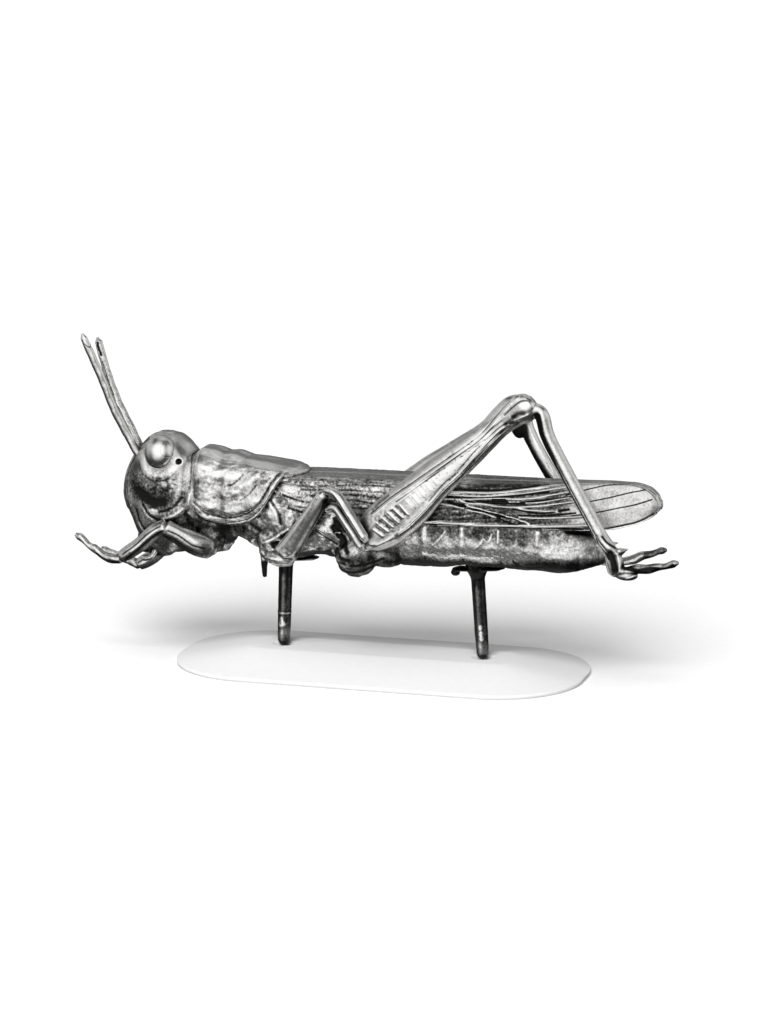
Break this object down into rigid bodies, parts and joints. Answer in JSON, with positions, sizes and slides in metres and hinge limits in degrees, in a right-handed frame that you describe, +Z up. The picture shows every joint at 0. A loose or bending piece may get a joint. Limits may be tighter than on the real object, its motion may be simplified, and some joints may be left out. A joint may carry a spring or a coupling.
{
  "type": "cast white-metal locust ornament",
  "caption": "Cast metal locust ornament with folded veined wings and raised hind knees, held by its fixing pins over a flat base.",
  "frame": {"origin": "middle of the stand base's underside, the plane the part rests on", "axes": "+Z up; the locust's body lies along X with its head towards -X and its wing tips towards +X; -Y is the insect's left side"},
  "size_m": [0.093, 0.03, 0.0492],
  "materials": {
    "silver": "satin",
    "silver_dark": "satin",
    "pin_dark": "satin",
    "stand": "matte"
  },
  "bodies": {
    "root": {"head": "silver", "eye_left": "silver", "antenna_left": "silver", "eye_right": "silver", "antenna_right": "silver", "pronotum": "silver", "wing_left": "silver", "wing_right": "silver", "thorax": "silver_dark", "abdomen": "silver_dark", "femur_fore_left": "silver", "tibia_fore_left": "silver", "tarsus_fore_left": "silver", "femur_mid_left": "silver", "tibia_mid_left": "silver", "tarsus_mid_left": "silver", "femur_hind_left": "silver", "tibia_hind_left": "silver", "tarsus_hind_left": "silver", "femur_fore_right": "silver", "tibia_fore_right": "silver", "tarsus_fore_right": "silver", "femur_mid_right": "silver", "tibia_mid_right": "silver", "tarsus_mid_right": "silver", "femur_hind_right": "silver", "tibia_hind_right": "silver", "tarsus_hind_right": "silver", "pin_front": "pin_dark", "pin_rear": "pin_dark", "stand_base": "stand"}
  },
  "joints": []
}
